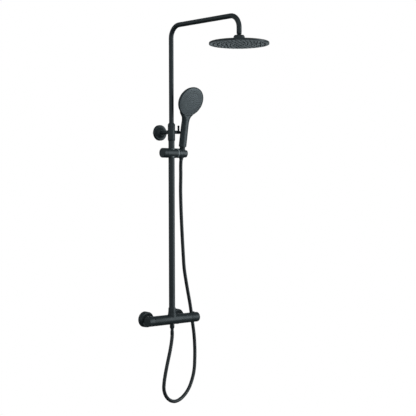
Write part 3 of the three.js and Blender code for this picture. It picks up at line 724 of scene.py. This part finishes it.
bracketSettings = {
    "flange": 30, "hole": 8.1, "depth": 18,
    "stub": 7.8, "stubBore": 5.3, "stubBoreDepth": 24.4, "grubHole": 2.3, "grubDepth": 20,
    "sleeve": 14, "sleeveEnd": 34, "boss": 6.4, "bossEnd": 21, "screwHole": 2.9,
    "sealGroove": (9, 10.9, 20, 22.4),  # its radii and heights
}
lockSettings = {
    "shaft": [(0, 9.8), (2.6, 9.8), (2.6, 21.3), (6.1, 21.3), (6.5, 21.7), (6.5, 38.4), (6, 39), (4, 39),
              (4, 42), (3.2, 43), (0, 43)],
    "pin": 3.8, "pinX": 34.9, "pinLow": 3, "tip": 4.4, "tipHeight": 22,
}


def makeBracket():
    s = bracketSettings
    height = middleOf("bracket_flange", 2)
    place = placeAt(axisX, axisY, height)
    wall, r, hole, front = -axisY, s["flange"], s["hole"], -axisY - s["depth"]
    flange = [(hole, front), (10.6, front), (11.4, wall - 17.6), (19, wall - 11.5), (23, wall - 10.6),
              *arcOf(r - 2, wall - 8.6, 2, -90, 0, 6), (r, wall), (r - 3, wall), (r - 4, wall - 7),
              (20, wall - 8.5), (12, wall - 14), (hole, wall - 16), (hole, front)]
    addPiece("bracketFlange", turned(flange, alongY, steps=broad), place, "column", "bracket_flange")
    end, sleeve = s["sleeveEnd"], s["sleeve"]
    stub = combined(rod(s["stub"], 9, wall - 4.5, alongY),
                    [rod(s["stubBore"], wall - s["stubBoreDepth"], wall, alongY), rod(sleeve + 0.1, -20, 20),
                     rod(s["grubHole"], -9, -4, at=(0, wall - s["grubDepth"], 0), steps=20)])
    addPiece("bracketStub", stub, place, "column", "bracket_stub")
    mouth = tubeHigh.z - height + 0.3
    r = tubeRadius + 0.3
    outline = [(r, -end), (12.5, -end), (12.9, 0.4 - end), (sleeve, 5 - end), (sleeve, end - 6),
               (10.7, end - 0.5), (10.2, end), (9.5, end), (9.5, mouth), (r, mouth), (r, -end)]
    boss = rod(s["boss"], 12, s["bossEnd"], alongX)
    body = combined(turned(outline, steps=broad), [boss], "UNION")
    body = combined(body, [rod(s["screwHole"], 5, s["bossEnd"] + spare, alongX, steps=32),
                           ringOf(*s["sealGroove"])])
    addPiece("riserSleeve", body, place, "column", "riser_sleeve")
    makeLockScrew(place)


def makeLockScrew(place):
    s = lockSettings
    x, top = s["pinX"], s["tipHeight"]
    pin = rod(s["pin"], s["pinLow"], top, at=(x, 0, 0), steps=24)
    tip = ballOf(s["tip"], (x, 0, top), 24, 16)
    screw = combined(turned(s["shaft"], alongX, steps=48), [pin, tip], "UNION")
    addPiece("lockScrew", screw, place, "lock_screw", "lock_screw")


makeBracket()
print("bracket made")


# Slider, in a frame on the riser's axis at the slider's height

sliderSettings = {
    "radius": 18.5, "edge": 0.6, "scallop": 17, "scallopDepth": 4.2, "bore": 13.6, "screwHole": 4.4,
    "axleHole": 4.3, "holeStart": 10, "bush": 13.3, "bushBore": 11.7, "ringEdge": 0.4, "knobScrew": 3.9,
}


def makeSlider():
    s = sliderSettings
    low, high = boxOf("slider_body")
    place = placeAt(axisX, axisY, middleOf("slider_body", 2))
    left, right, r, edge = low.x, high.x, s["radius"], s["edge"]
    bar = bevelled(0, r, left, right, edge, alongX, broad)
    scallop, start = s["scallop"], s["holeStart"]
    reach = r - s["scallopDepth"] + scallop
    cuts = [rod(scallop, -25, 25, alongY, (0, 0, side * reach), broad) for side in (-1, 1)]
    cuts += [rod(s["bore"], -25, 25), rod(s["screwHole"], left - spare, -start, alongX),
             rod(s["axleHole"], start, right + spare, alongX)]
    addPiece("sliderBody", combined(bar, cuts), place, "slider", "slider_body")
    end = halfOf("slider_bush", 2)
    bush = bevelled(s["bushBore"], s["bush"], -end, end, s["ringEdge"])
    addPiece("sliderBush", bush, place, "slider", "slider_bush", slot="pale_plastic")
    knobLow, knobHigh = boxOf("clamp_knob")
    far, near, screw = knobLow.x, left - 0.3, s["knobScrew"]
    knob = [(0, far + 0.6), (9.5, far + 0.6), (10.2, far), *arcOf(r - 1.8, far + 1.8, 1.8, -90, 0, 6),
            (r, near - 0.6), (r - 0.6, near), (screw, near), (screw, knobHigh.x), (0, knobHigh.x)]
    addPiece("clampKnob", turned(knob, alongX, steps=broad), place, "clamp_knob", "clamp_knob")
    ringLow, ringHigh = boxOf("holder_friction_ring")
    friction = bevelled(s["screwHole"], halfOf("holder_friction_ring", 2), ringLow.x, ringHigh.x,
                        s["ringEdge"], alongX, broad)
    addPiece("frictionRing", friction, place, "slider", "holder_friction_ring", slot="pale_plastic")


makeSlider()
print("slider made")


# Hand shower and its holder, in a frame on the cone seat's own leaning axis

handJoint = jointOf("handset_turn")
handLean = math.degrees(math.asin(-handJoint["axis"][1]))
handPoint = Vector(handJoint["pos_m"]) * 1000
handPlace = placeAt(*handPoint, handLean)
handSettings = {
    "faceTilt": 14, "faceY": -24, "faceZ": 200, "headRadius": 57, "pocket": 54.6, "pocketDepth": 3,
    "voxel": 1.1, "bore": 7, "boreLow": 20, "boreHigh": 150,
    "grip": [(25.5, 15.3, -10.4, 10.4), (27.5, 16.6, -11.6, 11.6), (62, 16.6, -11.6, 11.6),
             (100, 16.4, -11.5, 11.5), (112, 16.3, -11.6, 11.2), (122, 16.6, -11.8, 10),
             (131, 18.1, -12, 8.4), (139, 21.5, -12.1, 6.6), (146, 27.4, -12.3, 4.8), (154, 35, -14, 3),
             (164, 38, -17, 1), (176, 34, -20, -2)],
    "neckLow": 116, "neckHigh": 158, "neckPasses": 9, "passes": 3,
    "keptEdge": 2.5,  # the bowl isn't smoothed as far as this behind the face's plane
}
facePlace = (Matrix.Translation((0, handSettings["faceY"], handSettings["faceZ"]))
             @ Matrix.Rotation(math.radians(handSettings["faceTilt"]), 4, "X"))
holderSettings = {"radius": 18.3, "rounding": 7, "edge": 0.5, "clear": 0.4, "slot": 6.9, "reach": 25,
                  "axleHole": 4.5, "axleEnd": 34.4}
coneSettings = {"radius": 9.3, "slope": 0.0687}


def coneRadius(height):  # the hose nut's outside, and the holder's seat around it
    return coneSettings["radius"] + coneSettings["slope"] * height


def makeHolder():
    s = holderSettings
    near = boxOf("holder_friction_ring")[1].x + 0.3 - handPoint.x
    far = boxOf("handset_holder")[1].x - handPoint.x
    r, rounding, edge, reach = s["radius"], s["rounding"], s["edge"], s["reach"]
    onAxis = Matrix.Rotation(math.radians(-handLean), 3, "X") @ Vector((0, axisY - handPoint.y, 0))
    outline = [(0, near), (r - edge, near), (r, near + edge),
               *arcOf(r - rounding, far - rounding, rounding, 0, 90, 10), (0, far)]
    barrel = turned(outline, alongX, onAxis, broad)
    bottom, top = (coneRadius(height) + s["clear"] for height in (-reach, reach))
    seat = turned([(0, -reach), (bottom, -reach), (top, reach), (0, reach)], steps=broad)
    barrel = combined(barrel, [seat, blockOf((0, -s["slot"], -reach), (30, s["slot"], reach)),
                               rod(s["axleHole"], near - spare, s["axleEnd"] - handPoint.x, alongX, onAxis)])
    addPiece("handsetHolder", barrel, handPlace, "holder", "handset_holder", slot="black_coated_plastic")


def smoothedStations(stations, perSpan=6):
    line = np.array(stations, float)
    ends = np.vstack([2 * line[0] - line[1], line, 2 * line[-1] - line[-2]])
    made = []
    for i in range(1, len(ends) - 2):
        a, b, c, d = ends[i - 1:i + 3]
        for t in np.arange(perSpan) / perSpan:
            made.append(b + 0.5 * t * (c - a + t * (2 * a - 5 * b + 4 * c - d + t * (3 * (b - c) + d - a))))
    return [*made, line[-1]]


def gripLoft(stations):  # rings of (height, half width, front, back), each extruded from the last
    bm = bmesh.new()
    made = bmesh.ops.create_circle(bm, cap_ends=True, segments=64, radius=1)
    ring = made["verts"]
    edges = bm.edges[:]
    shape = None
    for height, half, front, back in stations:
        if shape is not None:
            grown = bmesh.ops.extrude_edge_only(bm, edges=edges)["geom"]
            ring = [g for g in grown if isinstance(g, bmesh.types.BMVert)]
            edges = [g for g in grown if isinstance(g, bmesh.types.BMEdge)]
            edges = [e for e in edges if all(v in ring for v in e.verts)]
            lastHeight, lastHalf, lastFront, lastBack = shape
            bmesh.ops.translate(bm, verts=ring, vec=(0, -(lastFront + lastBack) / 2, -lastHeight))
            bmesh.ops.scale(bm, verts=ring, vec=(1 / lastHalf, 2 / (lastBack - lastFront), 1))
        bmesh.ops.scale(bm, verts=ring, vec=(half, (back - front) / 2, 1))
        bmesh.ops.translate(bm, verts=ring, vec=(0, (front + back) / 2, height))
        shape = (height, half, front, back)
    bmesh.ops.contextual_create(bm, geom=edges)
    return meshFrom(bm)


def smoothVerts(bm, verts, passes):
    for turn in range(passes):
        bmesh.ops.smooth_vert(bm, verts=verts, factor=0.5, use_axis_x=True, use_axis_y=True, use_axis_z=True)


def makeHandBody():
    s = handSettings
    head, pocket, depth = s["headRadius"], s["pocket"], s["pocketDepth"]
    grip = gripLoft(smoothedStations(s["grip"]))
    front = moved(rod(head + 1.5, -40, 0, alongY, steps=broad), facePlace)
    grip = combined(grip, [front])
    bowl = turned([(0, 0), (head - 0.6, 0), (head, 0.6), (head, 6), *arcOf(head - 22, 0, 22.5, 17, 62, 10),
                   (18, 21.4), (0, 22)], alongY, steps=128)
    whole = joined([grip, moved(bowl, facePlace)])
    body = applied(whole, ("REMESH", {"mode": "VOXEL", "voxel_size": s["voxel"]}))
    bm = bmesh.new()
    bm.from_mesh(body)
    inFace = facePlace.inverted()

    def behind(v):
        return (inFace @ v.co).y > s["keptEdge"]

    neck = [v for v in bm.verts if behind(v) and s["neckLow"] < v.co.z < s["neckHigh"]]
    smoothVerts(bm, neck, s["neckPasses"])
    smoothVerts(bm, [v for v in bm.verts if behind(v) or v.co.z < s["boreHigh"]], s["passes"])
    body = meshFrom(bm)
    cutter = turned([(0, -depth), (pocket, -depth), (pocket, depth), (0, depth)], alongY, steps=128)
    body = combined(body, [moved(cutter, facePlace), rod(s["bore"], s["boreLow"], s["boreHigh"], steps=48)])
    addPiece("handsetBody", body, handPlace, "handset", "handset_body", slot="black_coated_plastic",
             smooth=50)


faceSettings = {
    "radius": 54, "dome": 2.6, "lip": 2.4, "jet": 1.5, "proud": 1.5,
    "rings": [(8, 8), (15, 16), (22, 20), (29, 20), (36, 40), (42, 40), (48, 40)],
}


def makeFace():  # a slightly domed plate with rings of soft jets
    s = faceSettings
    r, dome, lip = s["radius"], s["dome"], s["lip"]
    rim = r - lip

    def front(radius):
        return -dome * (1 - (radius / rim) ** 2)

    outline = [(radius, front(radius)) for radius in np.linspace(0, rim, 14)]
    outline += [(r - 1.7, 0.5), (r - 1, 0.2), (r, 1), (r, 2.6), (0, 2.6)]
    plate = turned([(float(a), float(h)) for a, h in outline], alongY, steps=128)
    jet, proud = s["jet"], s["proud"]
    nozzle = [(0, 0.7), (jet + 0.25, 0.7), (jet + 0.1, -0.1), (jet * 0.8, 0.3 - proud), (jet * 0.55, -proud),
              (jet * 0.4, 0.6 - proud), (0, 0.6 - proud)]
    jets = []
    for radius, count in s["rings"]:
        for j in range(count):
            angle = math.tau * j / count
            at = (radius * math.cos(angle), front(radius), radius * math.sin(angle))
            jets.append(turned(nozzle, alongY, at, 8))
    facing = handPlace @ facePlace
    addPiece("handsetFace", plate, facing, "handset", "handset_face", slot="grey_plate")
    addPiece("handsetJets", joined(jets), facing, "handset", slot="rubber")


def makeHoseTop():
    nut = [(6.9, -24.5), (coneRadius(-24.5) - 0.4, -24.5), (coneRadius(-24.1), -24.1),
           (coneRadius(24.4), 24.4), (coneRadius(24.9) - 0.5, 24.9), (9.5, 24.9), (9.5, 12.9), (6.9, 12.9),
           (6.9, -24.5)]
    addPiece("hoseConeNut", turned(nut, steps=72), handPlace, "hose_nut", "hose_cone_nut")
    tail = [(4, -28.4), (6.1, -28.4), (6.1, -33.4), (6.5, -33.8), (6.8, -33.2), (6.8, -27.6), (6.4, -26.6),
            (6.4, 13.2), (9.2, 13.2), (9.2, 15.4), (4, 15.4), (4, -28.4)]
    addPiece("hoseTopTail", turned(tail), handPlace, "hose_nut", "hose_top_tail")


makeHolder()
makeHandBody()
makeFace()
makeHoseTop()
print("hand shower made")


# Hose foot, under the valve

def makeHoseFoot():
    nut = [(6.5, -19.5), (8.5, -19.5), (8.9, -19.9), (8.9, -30.5), (7.6, -34.5), (6.6, -34.5), (6.6, -32.6),
           (8, -31.2), (8, -27), (6.5, -27), (6.5, -19.5)]
    tail = [(4, -30.6), (7.6, -30.6), (7.6, -31), (6.2, -32.4), (6.2, -44.5), (6.9, -45.2), (6.9, -57.6),
            (6.5, -58.2), (6.1, -57.8), (6.1, -53.6), (4, -53.6), (4, -30.6)]
    return [
        addPiece("hoseFootNut", turned(nut), valvePlace, "column", "hose_foot_nut"),
        addPiece("hoseFootTail", turned(tail), valvePlace, "column", "hose_foot_tail"),
    ]


footPieces = makeHoseFoot()


# Rain head, in a frame on its own axis at the column's height

ballJoint = jointOf("head_tilt")
ballPoint = Vector(ballJoint["pos_m"]) * 1000
headPlace = placeAt(ballPoint.x, ballPoint.y, 0)
headSettings = {"radius": 106.5, "neck": 13.4, "plate": 104.3, "mat": 99, "rings": 6, "spacing": 15.4,
                "hole": 2.3, "jetFoot": 1.9, "proud": 2.3, "steps": 160}
ballSettings = {"ball": 10.2, "bore": 3.2, "stud": 7.5, "neck": 5.6, "cup": 13.8, "housing": 20,
                "ring": 12.8, "ringBore": 10.7}


def jetPlaces(rings, spacing):  # rings of jets, each with six more than the one inside it
    places = [(0, 0)]
    for i in range(1, rings + 1):
        for j in range(6 * i):
            angle = math.tau * (j + 0.5 * (i % 2)) / (6 * i)
            places.append((i * spacing * math.cos(angle), i * spacing * math.sin(angle)))
    return places


def makeRainHead():
    s = headSettings
    low, high = boxOf("head_shell")
    bottom, top, r, neck, steps = low.z, high.z, s["radius"], s["neck"], s["steps"]
    shell = [(neck, top), (17.5, top), (80, top - 1.4), (r - 3, top - 2.9),
             *arcOf(r - 2, top - 4.9, 2, 90, 0, 6), (r, bottom + 0.3), (r - 0.3, bottom), (r - 1.6, bottom),
             (r - 1.8, top - 4.5), (80, top - 3), (neck, top - 1.6), (neck, top)]
    addPiece("headShell", turned(shell, steps=steps), headPlace, "head", "head_shell")
    places = jetPlaces(s["rings"], s["spacing"])
    plate = rod(s["plate"], bottom + 0.1, bottom + 1.1, steps=steps)
    holes = joined([rod(s["hole"], bottom - 1, bottom + 2, at=(x, y, 0), steps=14) for x, y in places])
    # the spray plate takes the paler grey, which has light from below painted into its colour
    addPiece("sprayPlate", combined(plate, [holes]), headPlace, "head", "head_spray_plate",
             slot="grey_plate", finish=rainGreyPaintedLight)
    foot, tip = s["jetFoot"], bottom - s["proud"]
    nozzle = [(0, bottom + 1.6), (foot, bottom + 1.6), (foot * 0.8, tip + 0.5), (foot * 0.55, tip),
              (foot * 0.3, tip), (foot * 0.25, tip + 0.6), (0, tip + 0.6)]
    mat = rod(s["mat"], bottom + 1.4, bottom + 2.6, steps=broad)
    jets = joined([mat, *[turned(nozzle, at=(x, y, 0), steps=8) for x, y in places]])
    addPiece("jetMat", jets, headPlace, "head", "head_jet_mat", slot="rubber")
    makeBall(top)


def makeBall(top):
    s = ballSettings
    c, stud, neck = ballPoint.z, s["stud"], s["neck"]
    end = boxOf("head_ball_stud")[1].z - studPlug
    shaft = turned([(3, c - 5), (stud, c - 5), (stud, c), (neck, c + 5), (neck, c + 15.9), (7.7, c + 18.4),
                    (9.1, end - 8), (9.1, end - 0.7), (8.8, end - 0.3), (7.1, end - 0.3),
                    (7.1, end + studPlug), (3, end + studPlug), (3, c - 5)])
    ball = combined(ballOf(s["ball"], (0, 0, c), 48, 32), [shaft], "UNION")
    ball = combined(ball, [rod(s["bore"], c - 12, c + 12, steps=32)])
    addPiece("ballStud", ball, headPlace, "arm", "head_ball_stud")
    cup, outside = s["cup"], s["housing"]
    housing = [(cup, top + 0.3), (outside, top + 0.3), (outside, c + 9), (19.7, c + 10.4), (19, c + 11.5),
               (16.9, c + 14.6), (16.2, c + 15), (10.6, c + 15), (9.5, c + 5.4), (cup, c + 5.4),
               (cup, top + 0.3)]
    addPiece("ballHousing", turned(housing, steps=80), headPlace, "head", "head_ball_housing")
    ring = ringOf(s["ringBore"], s["ring"], c - 3, c + 2)
    addPiece("swivelRing", ring, headPlace, "swivel_ring", "head_swivel_ring", slot="black_plastic")


makeRainHead()
print("rain head made")


# Finishes of the pieces that keep their CAD shape

keptFinish = {
    "cartridge": "brass", "inlet": "brass", "washer": "rubber", "seal": "rubber", "brake_pad": "rubber",
    "guide": "black_plastic", "screw": "steel", "axle": "steel", "wall_plate": "steel",
}
for nodeName, node in frame["nodes"].items():
    if node.hide_render:
        continue
    slotName = next((slot for word, slot in keptFinish.items() if word in nodeName), "black_metal")
    node.data.materials.clear()
    node.data.materials.append(finishOfSlot[slotName])


# Light and floor

studio = {
    "tint": (0.84, 0.965, 1.01), "towards": (-0.9, -0.44), "lean": 0.35,
    "levels": [(0.0, 0.05), (0.3, 0.12), (0.46, 0.48), (0.56, 0.48), (0.72, 0.24), (1.0, 0.2)],
    "floorHeight": -1.05, "floorRadius": 12, "paleRadius": 2.2, "whiteRadius": 2.97, "floorGlow": 0.74,
    "floorTone": (0.62, 0.62, 0.62), "floorShade": (0.17, 0.17, 0.17),
    "lights": [  # name, place, width and height, watts
        ("softboxRight", (2.9, -3.3, 0.55), (3.0, 4.1), 92),
        ("softboxAbove", (-1.6, -2.4, 3.4), (2.4, 2.4), 16),
        ("softboxBehind", (2.7, 2.9, 0.2), (3.2, 1.4), 11),
    ],
}


def makeWorld():  # white to the camera, and a soft tent of light to everything else
    world = bpy.data.worlds.new("studio")
    bpy.context.scene.world = world
    world.use_nodes = True
    world.node_tree.nodes.clear()
    wire = Wire(world.node_tree)
    ray = wire.node("LightPath", output="Is Camera Ray")
    direction = wire.node("TexCoord", output="Generated")
    across = wire.node("VectorMath", {"operation": "DOT_PRODUCT"},
                       {0: direction, 1: (*studio["towards"], 0)}, output="Value")
    upwards = wire.node("SeparateXYZ", {}, {0: direction}, output="Z")
    level = wire.node("ValToRGB", {"stops": studio["levels"]}, {0: upwards * 0.5 + 0.5})
    tinted = wire.node("Mix", {"data_type": "RGBA", "blend_type": "MULTIPLY"},
                       {0: 1.0, 6: level, 7: studio["tint"]}, output=2)
    strength = across * studio["lean"] + 1.0
    unseen = wire.node("Background", {}, {"Color": tinted, "Strength": strength})
    seen = wire.node("Background", {}, {"Color": (1.0, 1.0, 1.0), "Strength": 1.0})
    mixed = wire.node("MixShader", {}, {0: ray, 1: unseen, 2: seen})
    wire.node("OutputWorld", {}, {"Surface": mixed})


def makeLights():
    centre = (cadLow + cadHigh) / 2
    for name, place, (width, height), power in studio["lights"]:
        data = bpy.data.lights.new(name, "AREA")
        data.shape = "RECTANGLE"
        data.size, data.size_y, data.energy = width, height, power
        data.color = studio["tint"]
        light = newObject(name, data)
        light.location = place
        light.rotation_euler = (centre - Vector(place)).to_track_quat("-Z", "Y").to_euler()
        light.visible_camera = False


def makeFloor():  # a pale floor that fades into the white around it
    bm = bmesh.new()
    bmesh.ops.create_circle(bm, cap_ends=True, segments=128, radius=studio["floorRadius"],
                            matrix=Matrix.Translation((0, 0, studio["floorHeight"])))
    mesh = meshAsIs(bm)
    floor = newObject("floor", mesh)
    material, wire, place = newMaterial("paleFloor")
    far = wire.node("VectorMath", {"operation": "LENGTH"}, {0: place}, output="Value")
    ray = wire.node("LightPath", output="Is Camera Ray")
    away = between(wire, far, studio["paleRadius"], studio["whiteRadius"])
    away = (away * (1 - studio["floorGlow"]) + studio["floorGlow"]) * ray
    tone = mixedColour(wire, ray, studio["floorShade"], studio["floorTone"])
    pale = wire.node("BsdfDiffuse", {}, {"Color": tone})
    bright = wire.node("Emission", {}, {"Color": (1.0, 1.0, 1.0), "Strength": 1.0})
    mixed = wire.node("MixShader", {}, {0: away, 1: pale, 2: bright})
    wire.node("OutputMaterial", {}, {"Surface": mixed})
    mesh.materials.append(material)


makeWorld()
makeLights()
makeFloor()
bpy.context.scene.view_settings.view_transform = "Standard"
print("stage set")
